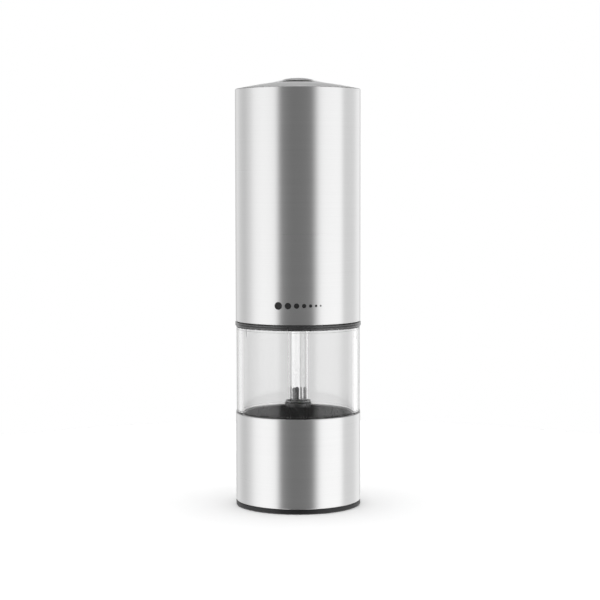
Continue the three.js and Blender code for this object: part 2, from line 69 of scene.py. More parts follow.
FLOOR_R = 0.3  # metres
FLOOR_DROP = 0.00002  # metres, so that the floor doesn't meet the foot's underside
TOP_LIGHT = 4.3  # the overhead softbox's level
TOP_DIMMING = 0.75  # the share of it that metal doesn't mirror
BRIGHTEST = 1.5  # the side panels' highest level
LOW_BRIGHTEST = 1.4  # the highest share that their light has at any height

BODY_OF = {n: b for b, nodes in frame["record"]["behaviour"]["bodies"].items() for n in nodes}
SLOT_OF = {part["node"]: part["material_slot"] for part in frame["record"]["subparts"]}


class Extent:
    """Where a CAD node is at rest, in millimetres."""

    def __init__(self, node):
        low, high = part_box(node)
        self.low = low / MM
        self.high = high / MM
        self.centre = (self.low + self.high) / 2
        self.r = self.high.x
        self.bottom = self.low.z
        self.top = self.high.z
        self.height = self.top - self.bottom


# ---- Camera ----

CAMERA_DISTANCE = 0.867  # from the mill's axis
CAMERA_HEIGHT = 0.165
CAMERA_PITCH = -4.04  # degrees, looking slightly down
CAMERA_ROLL = -0.08
CAMERA_YAW = -0.066
LENS = 103.06
SENSOR_WIDTH = 36


def make_camera():
    data = bpy.data.cameras.new("camera")
    data.lens = LENS
    data.sensor_width = SENSOR_WIDTH
    camera = bpy.data.objects.new("camera", data)
    camera.location = (0, -CAMERA_DISTANCE, CAMERA_HEIGHT)
    tilt = Matrix.Rotation(math.radians(90 + CAMERA_PITCH), 4, "X")
    turn = Matrix.Rotation(math.radians(CAMERA_YAW), 4, "Z")
    roll = Matrix.Rotation(math.radians(CAMERA_ROLL), 4, "Z")
    camera.rotation_euler = (turn @ tilt @ roll).to_euler()
    bpy.context.scene.collection.objects.link(camera)
    bpy.context.scene.camera = camera


make_camera()


# ---- Mesh helpers ----

def rounded(points, fillet=0.15, steps=4, closed=True):
    """An outline with its corners rounded. A point is (radius, height) or (radius, height, fillet)."""
    out = []
    last = len(points) - 1
    for i, point in enumerate(points):
        here = Vector(point[:2])
        size = point[2] if len(point) > 2 else fillet
        if size <= 0 or (not closed and i in (0, last)):
            out.append(tuple(here))
            continue
        back = Vector(points[i - 1][:2]) - here
        on = Vector(points[(i + 1) % len(points)][:2]) - here
        half = back.angle(on) / 2
        if half > math.radians(89):
            out.append(tuple(here))
            continue
        reach = min(size / math.tan(half), 0.45 * back.length, 0.45 * on.length)
        start = here + back.normalized() * reach
        end = here + on.normalized() * reach
        # a short flat beside the corner keeps the long faces' shading flat
        if back.length > 2.6 * reach:
            out.append(tuple(start + back.normalized() * 0.08 * reach))
        for step in range(steps + 1):
            t = step / steps
            out.append(tuple(start * (1 - t) ** 2 + here * 2 * t * (1 - t) + end * t * t))
        if on.length > 2.6 * reach:
            out.append(tuple(end + on.normalized() * 0.08 * reach))
    return out


def to_object(name, bm, sharp=32):
    """Turns faces outward, marks edges sharper than an angle, and scales millimetres to metres."""
    bmesh.ops.remove_doubles(bm, verts=bm.verts, dist=1e-5)
    bmesh.ops.recalc_face_normals(bm, faces=bm.faces)
    mesh = bpy.data.meshes.new(name)
    bm.to_mesh(mesh)
    bm.free()
    mesh.transform(Matrix.Scale(MM, 4))
    mesh.shade_smooth()
    mesh.set_sharp_from_angle(angle=math.radians(sharp))
    piece = bpy.data.objects.new(name, mesh)
    bpy.context.scene.collection.objects.link(piece)
    return piece


def add_turned(bm, profile, sides, radius_at=None):
    """A round solid. Its profile closes on itself unless it starts and ends on the axis."""
    on_axis = profile[0][0] == 0 and profile[-1][0] == 0
    rings = []
    for r, z in profile:
        if r == 0:
            rings.append([bm.verts.new((0, 0, z))] * sides)
            continue
        ring = []
        for i in range(sides):
            angle = 2 * math.pi * i / sides
            radius = radius_at(r, z, angle) if radius_at else r
            ring.append(bm.verts.new((radius * math.cos(angle), radius * math.sin(angle), z)))
        rings.append(ring)
    if not on_axis:
        rings.append(rings[0])
    for low, high in zip(rings, rings[1:]):
        for i in range(sides):
            j = (i + 1) % sides
            corners = dict.fromkeys([low[i], low[j], high[j], high[i]])
            if len(corners) > 2:
                bm.faces.new(list(corners))


def turned(name, profile, sides=FINE, radius_at=None, sharp=32):
    bm = bmesh.new()
    add_turned(bm, profile, sides, radius_at)
    return to_object(name, bm, sharp)


def add_prism(bm, outline, bottom, top, bevel=0.0, matrix=None):
    """An upright prism on an outline of (x, y) points, with its top and bottom edges eased."""
    made = bmesh.new()
    face = made.faces.new([made.verts.new((x, y, bottom)) for x, y in outline])
    raised = bmesh.ops.extrude_face_region(made, geom=[face])
    lifted = [v for v in raised["geom"] if isinstance(v, bmesh.types.BMVert)]
    bmesh.ops.translate(made, verts=lifted, vec=(0, 0, top - bottom))
    if bevel > 0:
        edges = [e for e in made.edges if abs(e.verts[0].co.z - e.verts[1].co.z) < 1e-6]
        bmesh.ops.bevel(made, geom=edges, offset=bevel, segments=3, affect="EDGES", profile=0.5)
    merge(bm, made, matrix)


def add_block(bm, size, centre, bevel=0.1, matrix=None):
    made = bmesh.new()
    bmesh.ops.create_cube(made, size=1)
    bmesh.ops.scale(made, verts=made.verts, vec=size)
    if bevel > 0:
        bmesh.ops.bevel(made, geom=made.edges[:], offset=bevel, segments=3, affect="EDGES", profile=0.5)
    bmesh.ops.translate(made, verts=made.verts, vec=centre)
    merge(bm, made, matrix)


def merge(bm, other, matrix=None):
    """Moves another mesh's faces into bm."""
    if matrix is not None:
        bmesh.ops.transform(other, matrix=matrix, verts=other.verts)
    mesh = bpy.data.meshes.new("merged")
    other.to_mesh(mesh)
    other.free()
    bm.from_mesh(mesh)
    bpy.data.meshes.remove(mesh)


def add_wire(bm, path, radius, sides=12):
    """Round wire along a path, with closed ends."""
    rings = []
    normal = None
    for i, point in enumerate(path):
        before = path[max(i - 1, 0)]
        after = path[min(i + 1, len(path) - 1)]
        along = (after - before).normalized()
        if normal is None:
            normal = along.orthogonal().normalized()
        normal = (normal - along * normal.dot(along)).normalized()
        side = along.cross(normal)
        ring = []
        for k in range(sides):
            angle = 2 * math.pi * k / sides
            ring.append(bm.verts.new(point + radius * (normal * math.cos(angle) + side * math.sin(angle))))
        rings.append(ring)
    for low, high in zip(rings, rings[1:]):
        for k in range(sides):
            bm.faces.new((low[k], low[(k + 1) % sides], high[(k + 1) % sides], high[k]))
    bm.faces.new(rings[0])
    bm.faces.new(rings[-1])


def coil(name, bottom_r, top_r, wire_r, bottom, top, turns, flat=0.8, at=(0, 0)):
    """A compression spring whose first and last stretches of a turn lie flat."""
    path = []
    steps_a_turn = 40
    steps = int(turns * steps_a_turn)
    rise = turns - 2 * flat
    for i in range(steps + 1):
        turn = turns * i / steps
        share = min(max((turn - flat) / rise, 0), 1)
        eased = share * share * (3 - 2 * share)
        end_pitch = 2.1 * wire_r  # one wire's width a turn where the coils touch
        low = bottom + wire_r + end_pitch * min(turn, flat)
        high = top - wire_r - end_pitch * min(turns - turn, flat)
        height = low + (high - low) * eased if 0 < share < 1 else (low if share <= 0 else high)
        radius = bottom_r + (top_r - bottom_r) * turn / turns
        angle = 2 * math.pi * turn
        path.append(Vector((at[0] + radius * math.cos(angle), at[1] + radius * math.sin(angle), height)))
    bm = bmesh.new()
    add_wire(bm, path, wire_r)
    return to_object(name, bm, 60)


def combine(piece, tool, operation, sharp=32, crossing=False):
    """Joins a tool with a piece, or cuts it out, and removes it. Crossing is for a tool whose blocks cross."""
    modifier = piece.modifiers.new("combine", "BOOLEAN")
    modifier.operation = operation
    modifier.solver = "EXACT"
    modifier.use_self = crossing
    modifier.object = tool
    graph = bpy.context.evaluated_depsgraph_get()
    mesh = bpy.data.meshes.new_from_object(piece.evaluated_get(graph))
    piece.modifiers.clear()
    old = piece.data
    name = old.name
    piece.data = mesh
    bpy.data.meshes.remove(old)
    mesh.name = name
    bpy.data.objects.remove(tool)
    mesh.shade_smooth()
    mesh.set_sharp_from_angle(angle=math.radians(sharp))
    return piece


def even_shading(piece):
    """Long flat faces keep their own shading beside small bevels."""
    modifier = piece.modifiers.new("normals", "WEIGHTED_NORMAL")
    modifier.keep_sharp = True
    return piece


def around(count, start=0.0):
    return [start + 2 * math.pi * i / count for i in range(count)]


def circle(radius, sides, centre=(0, 0)):
    return [(centre[0] + radius * math.cos(a), centre[1] + radius * math.sin(a)) for a in around(sides)]


def turn_z(angle):
    return Matrix.Rotation(angle, 4, "Z")


def math_node(tree, operation, first, second):
    """A math node, fed by numbers or by other nodes' outputs."""
    node = tree.nodes.new("ShaderNodeMath")
    node.operation = operation
    for socket, value in zip(node.inputs, (first, second)):
        if isinstance(value, (int, float)):
            socket.default_value = value
        else:
            tree.links.new(value, socket)
    return node.outputs["Value"]


# ---- Materials ----

class Finish:
    """A node material on Blender's standard shader, patterned in the piece's own coordinates."""

    def __init__(self, name, colour, roughness, metallic=0.0, **sockets):
        self.material = bpy.data.materials.new(name)
        self.material.use_nodes = True
        self.tree = self.material.node_tree
        self.shader = self.tree.nodes["Principled BSDF"]
        self.colour = (*colour, 1)
        self.set("Base Color", self.colour)
        self.set("Roughness", roughness)
        self.set("Metallic", metallic)
        for socket, value in sockets.items():
            self.set(socket.replace("_", " "), value)
        self.place = self.tree.nodes.new("ShaderNodeTexCoord").outputs["Object"]

    def set(self, socket, value):
        self.shader.inputs[socket].default_value = value

    def link(self, source, target):
        self.tree.links.new(source, target)

    def noise(self, scale, stretch=(1, 1, 1), detail=3.0, offset=0.0):
        """Noise from 0 to 1, with scale in features a metre and stretch along each axis."""
        mapping = self.tree.nodes.new("ShaderNodeMapping")
        mapping.inputs["Scale"].default_value = stretch
        mapping.inputs["Location"].default_value = (offset, offset, offset)
        self.link(self.place, mapping.inputs["Vector"])
        texture = self.tree.nodes.new("ShaderNodeTexNoise")
        texture.inputs["Scale"].default_value = scale
        texture.inputs["Detail"].default_value = detail
        self.link(mapping.outputs["Vector"], texture.inputs["Vector"])
        return texture.outputs["Fac"]

    def math(self, operation, first, second):
        return math_node(self.tree, operation, first, second)

    def spread(self, fac, low, high, start=0.3, end=0.7):
        """Maps a pattern's middle range onto low to high."""
        node = self.tree.nodes.new("ShaderNodeMapRange")
        node.inputs["From Min"].default_value = start
        node.inputs["From Max"].default_value = end
        node.inputs["To Min"].default_value = low
        node.inputs["To Max"].default_value = high
        self.link(fac, node.inputs["Value"])
        return node.outputs["Result"]

    def tint(self, fac, low, high):
        """Colours the surface from low to high times its own colour."""
        node = self.tree.nodes.new("ShaderNodeMix")
        node.data_type = "RGBA"
        sockets = {s.identifier: s for s in node.inputs}
        sockets["A_Color"].default_value = (*[low * c for c in self.colour[:3]], 1)
        sockets["B_Color"].default_value = (*[min(high * c, 1) for c in self.colour[:3]], 1)
        self.link(self.spread(fac, 0, 1), sockets["Factor_Float"])
        outputs = {s.identifier: s for s in node.outputs}
        self.link(outputs["Result_Color"], self.shader.inputs["Base Color"])

    def rough(self, fac, low, high):
        self.link(self.spread(fac, low, high), self.shader.inputs["Roughness"])

    def bump(self, height, depth, strength=1.0):
        """Relief of a depth in millimetres."""
        node = self.tree.nodes.new("ShaderNodeBump")
        node.inputs["Distance"].default_value = depth * MM
        node.inputs["Strength"].default_value = strength
        self.link(height, node.inputs["Height"])
        self.link(node.outputs["Normal"], self.shader.inputs["Normal"])

    def tangent(self):
        """Brushing that runs round the Z axis."""
        node = self.tree.nodes.new("ShaderNodeTangent")
        node.direction_type = "RADIAL"
        node.axis = "Z"
        self.link(node.outputs["Tangent"], self.shader.inputs["Tangent"])


def brushed_steel():
    """Stainless steel brushed round the body: hair-fine lines in several widths."""
    finish = Finish("brushed_steel", (0.72, 0.72, 0.72), 0.3, 1.0, Anisotropic=0.75, Anisotropic_Rotation=0.25)
    hairs = finish.noise(1.0, (22, 22, 9000), 2.0)
    lines = finish.noise(1.0, (12, 12, 2600), 2.0, 3.1)
    bands = finish.noise(1.0, (7, 7, 700), 2.0, 7.7)
    grain = finish.math("ADD", finish.math("MULTIPLY", hairs, 0.5), finish.math("MULTIPLY", lines, 0.3))
    grain = finish.math("ADD", grain, finish.math("MULTIPLY", bands, 0.2))
    finish.tint(grain, 0.97, 1.03)
    finish.rough(grain, 0.27, 0.33)
    finish.bump(hairs, 0.003, 0.2)
    finish.tangent()
    return finish


def satin_silver():
    """Silver satin coating with a fine sparkle."""
    finish = Finish("satin_silver", (0.86, 0.86, 0.86), 0.36, 1.0)
    finish.tint(finish.noise(9000, detail=2.0), 0.95, 1.04)
    finish.rough(finish.noise(400), 0.33, 0.4)
    finish.bump(finish.noise(6000, detail=2.0), 0.003, 0.3)
    return finish


def polished_steel():
    finish = Finish("polished_steel", (0.93, 0.93, 0.93), 0.08, 1.0)
    finish.tint(finish.noise(60), 0.97, 1.02)
    finish.rough(finish.noise(900, (1, 1, 0.2)), 0.05, 0.11)
    return finish


def zinc_steel():
    """Zinc plate with its faint cloudy patches."""
    finish = Finish("zinc_steel", (0.6, 0.62, 0.64), 0.4, 1.0)
    finish.tint(finish.noise(700, detail=5.0), 0.82, 1.08)
    finish.rough(finish.noise(1500), 0.32, 0.5)
    finish.bump(finish.noise(5000), 0.006, 0.4)
    return finish


def spring_steel():
    finish = Finish("spring_steel", (0.62, 0.63, 0.65), 0.28, 1.0)
    finish.tint(finish.noise(2500), 0.85, 1.05)
    finish.rough(finish.noise(3000), 0.22, 0.36)
    return finish


def clear_acrylic():
    """Clear moulded plastic, with a barely uneven polish."""
    finish = Finish("clear_acrylic", (0.97, 0.97, 0.97), 0.01, IOR=1.49, Transmission_Weight=1.0)
    finish.tint(finish.noise(25), 0.99, 1.01)
    finish.rough(finish.noise(300), 0.0, 0.02)
    return finish


def grey_acrylic():
    finish = Finish("grey_acrylic", (0.78, 0.78, 0.79), 0.25, IOR=1.49, Transmission_Weight=0.2)
    finish.tint(finish.noise(800), 0.9, 1.1)
    finish.rough(finish.noise(1200), 0.2, 0.34)
    return finish


def gloss_black():
    """Glossy black moulding with a faint orange peel."""
    finish = Finish("gloss_black", (0.032, 0.032, 0.033), 0.14, IOR=1.75)
    finish.tint(finish.noise(500), 0.8, 1.2)
    finish.rough(finish.noise(250), 0.1, 0.18)
    finish.bump(finish.noise(350, detail=1.0), 0.01, 0.12)
    return finish


def matt_black():
    """Black moulding with a fine spark-eroded grain."""
    finish = Finish("matt_black", (0.011, 0.011, 0.012), 0.5)
    grain = finish.noise(7000, detail=2.0)
    finish.tint(grain, 0.8, 1.25)
    finish.rough(grain, 0.42, 0.6)
    finish.bump(grain, 0.012, 0.5)
    return finish


def ceramic():
    """Unglazed ceramic: warm white, with fine grains and a few darker specks."""
    finish = Finish("ceramic", (0.82, 0.79, 0.72), 0.5, Subsurface_Weight=0.08, Subsurface_Scale=0.001)
    finish.tint(finish.noise(1800, detail=6.0), 0.9, 1.05)
    finish.rough(finish.noise(4000), 0.42, 0.62)
    finish.bump(finish.noise(6000), 0.01, 0.5)
    return finish


def nylon():
    finish = Finish("nylon", (0.78, 0.76, 0.69), 0.42, Subsurface_Weight=0.15, Subsurface_Scale=0.002)
    finish.tint(finish.noise(500, detail=4.0), 0.94, 1.04)
    finish.rough(finish.noise(2500), 0.34, 0.5)
    finish.bump(finish.noise(3000), 0.006, 0.4)
    return finish


def bronze():
    """Sintered bronze, with open pores."""
    finish = Finish("bronze", (0.55, 0.36, 0.18), 0.42, 1.0)
    pores = finish.noise(9000, detail=4.0)
    finish.tint(pores, 0.7, 1.1)
    finish.rough(pores, 0.35, 0.55)
    finish.bump(pores, 0.02, 0.6)
    return finish


def wire_sheath(name, colour):
    finish = Finish(name, colour, 0.45)
    finish.tint(finish.noise(900), 0.88, 1.1)
    finish.rough(finish.noise(2000), 0.38, 0.52)
    return finish


def silicone():
    finish = Finish("silicone", (0.72, 0.72, 0.7), 0.55, Subsurface_Weight=0.2, Subsurface_Scale=0.002)
    finish.tint(finish.noise(600), 0.95, 1.03)
    finish.rough(finish.noise(1500), 0.5, 0.66)
    return finish


def cell_wrap():
    """Printed foil wrap, with a faint sheen and fine scuffs."""
    finish = Finish("cell_wrap", (0.03, 0.055, 0.1), 0.3, 0.4)
    finish.tint(finish.noise(300), 0.85, 1.15)
    finish.rough(finish.noise(2500, (1, 1, 0.1)), 0.24, 0.4)
    return finish


def cell_band():
    finish = Finish("cell_band", (0.62, 0.33, 0.16), 0.28, 0.9)
    finish.tint(finish.noise(300), 0.9, 1.08)
    finish.rough(finish.noise(2500, (1, 1, 0.1)), 0.22, 0.36)
    return finish


FINISHES = {
    "brushed_steel": brushed_steel(),
    "satin_silver": satin_silver(),
    "polished_steel": polished_steel(),
    "zinc_steel": zinc_steel(),
    "spring_steel": spring_steel(),
    "clear_acrylic": clear_acrylic(),
    "grey_acrylic": grey_acrylic(),
    "gloss_black": gloss_black(),
    "matt_black": matt_black(),
    "ceramic": ceramic(),
    "nylon": nylon(),
    "bronze": bronze(),
    "red_wire": wire_sheath("red_wire", (0.42, 0.03, 0.025)),
    "black_wire": wire_sheath("black_wire", (0.015, 0.015, 0.016)),
    "silicone": silicone(),
    "cell_wrap": cell_wrap(),
}
CELL_BAND = cell_band()


def stand_for(node, piece):
    """The piece takes a CAD node's place: its body, its finish and its slot."""
    piece.data.materials.clear()
    piece.data.materials.append(FINISHES[SLOT_OF[node]].material)
    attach(piece, BODY_OF[node])
    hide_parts(node)
    return piece


def rod_square(bottom, top, growth=0.0):
    """The drive rod's square, or the slightly larger hole for it, as a cutting tool."""
    bm = bmesh.new()
    half = ROD_SIDE / 2 + growth
    corners = [(half, half), (-half, half), (-half, -half), (half, -half)]
    add_prism(bm, corners, bottom, top, matrix=turn_z(ROD_TURN))
    return to_object("rod_square", bm)


def plain_tube(node, inner, fillet, steps=4, sides=FINE):
    tube = Extent(node)
    outline = [(inner, tube.bottom), (tube.r, tube.bottom), (tube.r, tube.top), (inner, tube.top)]
    stand_for(node, turned(f"fine_{node}", rounded(outline, fillet, steps), sides))


def plain_block(node, bevel):
    block = Extent(node)
    bm = bmesh.new()
    add_block(bm, block.high - block.low, block.centre, bevel)
    stand_for(node, even_shading(to_object(f"fine_{node}", bm)))


# ---- Base ----

def screw_places():
    return [Extent(f"base_screw_{i}").centre for i in (1, 2, 3)]


def drill(piece, radius, bottom, top):
    """Cuts the three base screws' holes."""
    bm = bmesh.new()
    for place in screw_places():
        add_prism(bm, circle(radius, SMALL, place[:2]), bottom, top)
    return combine(piece, to_object("drill", bm), "DIFFERENCE")


def foot_ring():
    foot = Extent("foot_ring")
    band = Extent("lower_band")
    seam = band.bottom - 0.1
    profile = rounded([
        (foot.r - 0.5, foot.bottom, 0.3), (foot.r, foot.bottom + 0.45, 0.3), (foot.r, seam, 0.25),
        (30.4, seam, 0.1), (30.4, foot.top, 0.3), (29.2, foot.top, 0.3),
        (29.2, foot.bottom + 4.4, 0.4), (22.4, foot.bottom + 4.4), (22.4, foot.bottom + 2.6),
        (28.4, foot.bottom + 2.6, 0.3), (28.4, foot.bottom + 0.2, 0.2), (28.7, foot.bottom, 0.1),
    ])
    stand_for("foot_ring", drill(turned("fine_foot_ring", profile), 1.6, 2, 5))


def steel_skin(node):
    """A thin steel tube with its edges rolled round."""
    skin = Extent(node)
    inner = skin.r - SHEET
    profile = rounded([
        (inner, skin.bottom, 0.1), (skin.r - 0.2, skin.bottom, 0.05), (skin.r, skin.bottom + 0.3, 0.1),
        (skin.r, skin.top, 0.08), (inner, skin.top, 0.1),
    ], steps=5)
    stand_for(node, turned(f"fine_{node}", profile, FINEST))


def burr_housing():
    shell = Extent("burr_housing")
    flange_foot = shell.bottom + 1.7
    flange_top = shell.bottom + 4
    floor = shell.bottom + 1.5
    profile = rounded([
        (17.6, shell.bottom), (22.1, shell.bottom), (22.1, flange_foot), (shell.r, flange_foot),
        (shell.r, flange_top), (22.1, flange_top), (22.1, shell.top), (20.7, shell.top), (20.7, floor),
        (17.6, floor),
    ], 0.25)
    stand_for("burr_housing", drill(turned("fine_burr_housing", profile), 1.6, 4, 8))


def thread(r, z, angle, pitch=0.9, depth=0.3):
    """Radius of a threaded shank: a V-shaped ridge that climbs by one pitch a turn."""
    phase = (z / pitch - angle / (2 * math.pi)) % 1
    return r - depth * abs(2 * phase - 1)


def base_screw(index):
    node = f"base_screw_{index}"
    screw = Extent(node)
    x, y = screw.centre[:2]
    head_top = screw.bottom + 1.4
    head_r = 2.7
    shank_r = 1.3
    head = [
        (0, screw.bottom), (1.5, screw.bottom + 0.05), (2.3, screw.bottom + 0.35),
        (head_r, screw.bottom + 0.9), (head_r, head_top - 0.1), (2.6, head_top), (shank_r, head_top),
    ]
    turns_of_thread = [(shank_r, head_top + 0.05 + 0.1 * i) for i in range(40)]
    tip = [(0.7, screw.top - 0.2), (0, screw.top)]
    shank_from = head_top + 0.2

    def radius_at(r, z, angle):
        return thread(r, z, angle) if r == shank_r and z > shank_from else r

    piece = turned(f"fine_{node}", head + turns_of_thread + tip, SMALL, radius_at, 50)
    bm = bmesh.new()
    for width, depth in ((3.0, 0.75), (0.75, 3.0)):
        x_half, y_half = width / 2, depth / 2
        slot = [(x_half, y_half), (-x_half, y_half), (-x_half, -y_half), (x_half, -y_half)]
        add_prism(bm, slot, screw.bottom - 1, screw.bottom + 0.9, matrix=turn_z(0.4 * index))
    combine(piece, to_object("recess", bm), "DIFFERENCE", 50, crossing=True)
    piece.data.transform(Matrix.Translation((x * MM, y * MM, 0)))
    stand_for(node, piece)


def sawtooth(teeth, angle):
    phase = teeth * angle / (2 * math.pi)
    return phase - math.floor(phase)


def burr_ring():
    """Fixed grinding ring: straight throat with ridges, then a fine-toothed flare."""
    ring = Extent("burr_ring")
    teeth = 32
    ridges = 8
    toothed_within = 17
    low = ring.bottom
    profile = rounded([
        (ring.r, low, 0.4), (ring.r, ring.top, 0.4), (14.2, ring.top, 0.3), (13.3, low + 12.2, 0),
        (13.3, low + 10, 0), (13.3, low + 7.8, 0), (14.6, low + 4.6, 0), (15.9, low + 1.4, 0), (16.4, low, 0.2),
    ])

    def radius_at(r, z, angle):
        if r > toothed_within:
            return r
        if z > low + 7.2:
            return r + 0.9 * sawtooth(ridges, angle + 0.03 * z)
        return r + 0.5 * sawtooth(teeth, angle + 0.06 * z)

    stand_for("burr_ring", turned("fine_burr_ring", profile, teeth * SIDES_A_TOOTH, radius_at, 28))


def burr_cone():
    """Grinding cone: coarse spiral ridges above that break the corns, fine teeth below."""
    cone = Extent("burr_cone")
    teeth = 32
    ridges = 5
    foot = cone.bottom
    bore_floor = foot + 6.8  # where the grinder spring stands
    profile = [
        (0, foot), (12.6, foot), (13.9, foot + 0.3), (13.55, foot + 1.2), (13.2, foot + 2.2),
        (12.6, foot + 3.4), (12.1, foot + 4.6), (11.6, foot + 5.2), (10.5, foot + 6.4), (9.6, foot + 7.4),
        (9.1, foot + 9),
        (8.5, foot + 10.6), (8, cone.top - 0.3), (7.6, cone.top), (0, cone.top),
    ]

    def radius_at(r, z, angle):
        if r < 7.8:
            return r
        if z > foot + 4.8:
            return r - 1.5 * sawtooth(ridges, angle + 0.09 * (z - foot))
        return r - 0.6 * sawtooth(teeth, angle + 0.05 * (z - foot))

    piece = turned("fine_burr_cone", profile, teeth * SIDES_A_TOOTH, radius_at, 28)
    combine(piece, rod_square(foot - 1, cone.top + 1, HOLE_GROWTH), "DIFFERENCE", 28)
    bm = bmesh.new()
    add_prism(bm, circle(5.6, MEDIUM), bore_floor, cone.top + 1)
    combine(piece, to_object("counterbore", bm), "DIFFERENCE", 28)
    stand_for("burr_cone", piece)


def bearing_spider():
    spider = Extent("bearing_spider")
    piece = turned("fine_bearing_spider", rounded([
        (3.8, spider.bottom), (5.8, spider.bottom), (5.8, spider.top), (3.8, spider.top),
    ], 0.2), MEDIUM)
    rim = turned("rim", rounded([
        (11.8, spider.bottom), (13.1, spider.bottom), (13.1, spider.top), (11.8, spider.top),
    ], 0.2), MEDIUM)
    bm = bmesh.new()
    for angle in around(3):
        add_block(bm, (7.2, 2, spider.height - 0.4), (8.8, 0, spider.centre.z), 0.3, turn_z(angle))
    combine(piece, rim, "UNION")
    combine(piece, to_object("arms", bm), "UNION")
    stand_for("bearing_spider", even_shading(piece))


def hopper():
    cup = Extent("hopper")
    profile = rounded([
        (cup.r, cup.top, 0.25), (cup.r, cup.bottom + 13.3, 1.5), (15, cup.bottom + 4.3, 1.2),
        (15, cup.bottom, 0.2), (13.6, cup.bottom, 0.2), (13.6, cup.bottom + 4.9, 1.5),
        (27.4, cup.bottom + 14.7, 2.5), (27.4, cup.top, 0.25),
    ], steps=8)
    stand_for("hopper", turned("fine_hopper", profile))


def pepper_chamber():
    """Clear jar: a seat inside the band, a flange on its edge, guide ribs and a neck with bayonet lugs."""
    jar = Extent("pepper_chamber")
    band = Extent("lower_band")
    collar = Extent("lock_collar")
    bore = 28.4
    seat = band.top + 0.1
    shoulder = collar.bottom - 0.2
    outer = 31.2
    neck = 29.3
    wall = turned("fine_pepper_chamber", rounded([
        (bore, jar.bottom, 0.2), (30.6, jar.bottom, 0.2), (30.6, seat, 0.05), (31.4, seat, 0.2),
        (31.4, seat + 0.8, 0.25), (outer, seat + 1.0, 0.1), (outer, shoulder, 0.3), (neck, shoulder, 0.2),
        (neck, jar.top, 0.3), (bore + 0.1, jar.top, 0.2), (bore + 0.1, shoulder - 1.2, 0.05),
        (bore, shoulder - 1.3, 0.05),
    ], steps=5), FINEST)
    bm = bmesh.new()
    for angle in (math.radians(165), math.radians(-15)):
        add_block(bm, (1.1, 1.0, 5.0), (bore - 0.2, 0, shoulder - 3.4), 0.1, turn_z(angle))
    for angle in around(4):
        add_block(bm, (0.7, 5, 2.2), (neck, 0, jar.top - 2.7), 0.2, turn_z(angle))
    stand_for("pepper_chamber", combine(wall, to_object("ribs", bm), "UNION"))


# ---- Drive ----

def drive_rod():
    rod = Extent("drive_rod")
    half = ROD_SIDE / 2
    ease = 0.25
    corners = []
    for sx, sy in ((1, 1), (-1, 1), (-1, -1), (1, -1)):
        pair = [(sx * half, sy * (half - ease)), (sx * (half - ease), sy * half)]
        corners += pair if sx * sy > 0 else pair[::-1]
    square_from = rod.bottom + 5.5  # the square starts above the threaded end
    bm = bmesh.new()
    add_prism(bm, corners, square_from, rod.top, 0.15, turn_z(ROD_TURN))
    piece = to_object("fine_drive_rod", bm)
    profile = [(0, rod.bottom), (1.5, rod.bottom), (2, rod.bottom + 0.4)]
    profile += [(2, rod.bottom + 0.5 + 0.1 * i) for i in range(50)]
    profile += [(1.9, square_from + 0.5), (0, square_from + 0.5)]

    def radius_at(r, z, angle):
        return thread(r, z, angle, 0.8, 0.28) if r == 2 and z > rod.bottom + 0.45 else r

    end = turned("thread", profile, SMALL, radius_at, 50)
    stand_for("drive_rod", even_shading(combine(piece, end, "UNION")))


def rod_sleeve():
    tube = Extent("rod_sleeve")
    foot = tube.bottom
    profile = rounded([
        (4.4, foot, 0.15), (tube.r, foot, 0.15), (tube.r, foot + 0.7, 0.15), (5.2, foot + 1.0, 0.2),
        (5.2, tube.top, 0.25), (4.4, tube.top, 0.25),
    ])
    stand_for("rod_sleeve", turned("fine_rod_sleeve", profile, CLOSE))


def sleeve_clip():
    """A ring on the rod with four round-topped fingers that keep the sleeve centred."""
    clip = Extent("sleeve_clip")
    ring_top = clip.bottom + 1.2
    half_width = 1.0
    finger_from = 3.35  # the fingers' inner faces, from the axis
    straight = clip.height - 0.6 - half_width
    outline = [(-half_width, 0), (half_width, 0)]
    outline += [
        (half_width * math.cos(a), straight + half_width * math.sin(a))
        for a in [math.pi * i / 16 for i in range(17)]
    ]
    piece = turned("fine_sleeve_clip", rounded([
        (0, clip.bottom), (4.15, clip.bottom), (4.15, ring_top), (0, ring_top),
    ], 0.15, closed=False), MEDIUM)
    bm = bmesh.new()
    stand = Matrix.Rotation(math.pi / 2, 4, "X")
    for angle in around(4, ROD_TURN):
        place = turn_z(angle) @ Matrix.Translation((0, -finger_from, clip.bottom + 0.6)) @ stand
        add_prism(bm, outline, 0, 0.8, 0.15, place)
    combine(piece, to_object("fingers", bm), "UNION")
    combine(piece, rod_square(clip.bottom - 1, ring_top + 1, HOLE_GROWTH), "DIFFERENCE")
    stand_for("sleeve_clip", even_shading(piece))


def blade(bottom):
    """One blade of the feed screw: a slab that twists as it climbs."""
    bm = bmesh.new()
    steps = 12
    rings = []
    for i in range(steps + 1):
        t = i / steps
        angle = math.radians(-28 + 56 * t)
        z = bottom + 9.6 * t
        tip = 9.8 - 1.6 * t
        half = 0.8 - 0.25 * abs(2 * t - 1)
        ring = []
        for r, side in ((4.0, -half), (tip, -0.7 * half), (tip, 0.7 * half), (4.0, half)):
            x = r * math.cos(angle) - side * math.sin(angle)
            y = r * math.sin(angle) + side * math.cos(angle)
            ring.append(bm.verts.new((x, y, z)))
        rings.append(ring)
    for low, high in zip(rings, rings[1:]):
        for k in range(4):
            bm.faces.new((low[k], low[(k + 1) % 4], high[(k + 1) % 4], high[k]))
    bm.faces.new(rings[0])
    bm.faces.new(rings[-1])
    return bm


